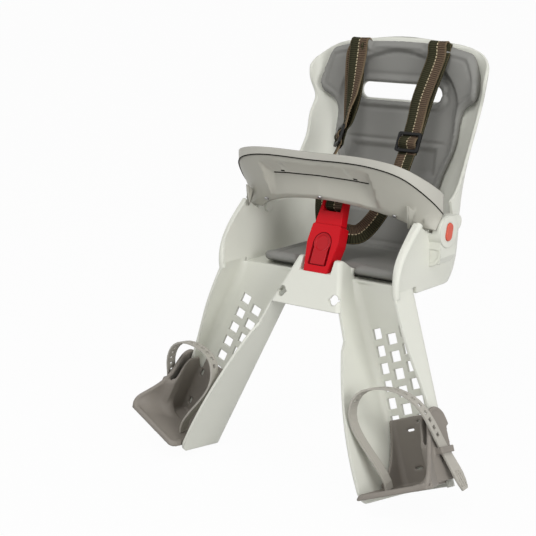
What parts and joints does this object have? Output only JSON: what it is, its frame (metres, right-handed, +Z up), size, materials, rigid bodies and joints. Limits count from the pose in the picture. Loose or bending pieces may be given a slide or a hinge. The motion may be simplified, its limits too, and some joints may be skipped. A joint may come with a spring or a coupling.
{
  "type": "child bike seat",
  "caption": "Front-mounted child bike seat: ivory moulded shell with splayed leg channels, grey pads, hinged safety bar, red buckle harness and sliding footrests.",
  "frame": {"origin": "midway between the two fork holes in the front panel, on the plane of symmetry", "axes": "+Z up; the seat faces -Y; +X is the child's left side"},
  "size_m": [0.4808, 0.3141, 0.5296],
  "materials": {
    "shell": "satin",
    "pad": "matte",
    "bar": "satin",
    "bar_cover": "satin",
    "steel": "brushed",
    "red_plastic": "gloss",
    "red_button": "gloss",
    "webbing": "woven",
    "black_plastic": "satin",
    "footrest": "satin",
    "foot_rubber": "matte"
  },
  "bodies": {
    "seat": {"shell": "shell", "back_pad": "pad", "seat_pad": "pad", "pivot_pin_left": "steel", "pivot_pin_right": "steel", "release_spring_left": "steel", "release_spring_right": "steel", "buckle_body": "red_plastic", "buckle_spring": "steel", "buckle_tongue": "red_plastic", "buckle_screw": "steel", "shoulder_strap_left": "webbing", "shoulder_strap_right": "webbing", "lap_strap": "webbing", "adjuster_left": "black_plastic", "adjuster_right": "black_plastic", "strap_anchor_left": "black_plastic", "strap_anchor_right": "black_plastic"},
    "safety_bar": {"bar_lower": "bar", "bar_cover": "bar_cover", "bar_screws": "steel"},
    "release_left": {"release_button_left": "red_button"},
    "release_right": {"release_button_right": "red_button"},
    "buckle_press": {"buckle_button": "red_plastic"},
    "footrest_left": {"footrest_left": "footrest", "foot_strap_left": "foot_rubber"},
    "footrest_right": {"footrest_right": "footrest", "foot_strap_right": "foot_rubber"}
  },
  "joints": [
    {"name": "safety_bar", "type": "hinge", "parent": "seat", "child": "safety_bar", "pos_m": [0, 0.086, 0.086], "axis": [-1, 0, 0], "range_deg": [0, 50]},
    {"name": "release_left", "type": "slide", "parent": "seat", "child": "release_left", "axis": [-1, 0, 0], "range_m": [0, 0.0025], "stiffness_N_per_m": 600, "springref_m": -0.001, "deforming": ["release_spring_left"]},
    {"name": "release_right", "type": "slide", "parent": "seat", "child": "release_right", "axis": [1, 0, 0], "range_m": [0, 0.0025], "stiffness_N_per_m": 600, "springref_m": -0.001, "deforming": ["release_spring_right"]},
    {"name": "buckle_press", "type": "slide", "parent": "seat", "child": "buckle_press", "axis": [0, 0.9092, -0.4163], "range_m": [0, 0.002], "stiffness_N_per_m": 600, "springref_m": -0.001, "deforming": ["buckle_spring"]},
    {"name": "footrest_left", "type": "slide", "parent": "seat", "child": "footrest_left", "axis": [-0.3658, 0.145, 0.9193], "range_m": [0, 0.108]},
    {"name": "footrest_right", "type": "slide", "parent": "seat", "child": "footrest_right", "axis": [0.3658, 0.145, 0.9193], "range_m": [0, 0.108]}
  ]
}
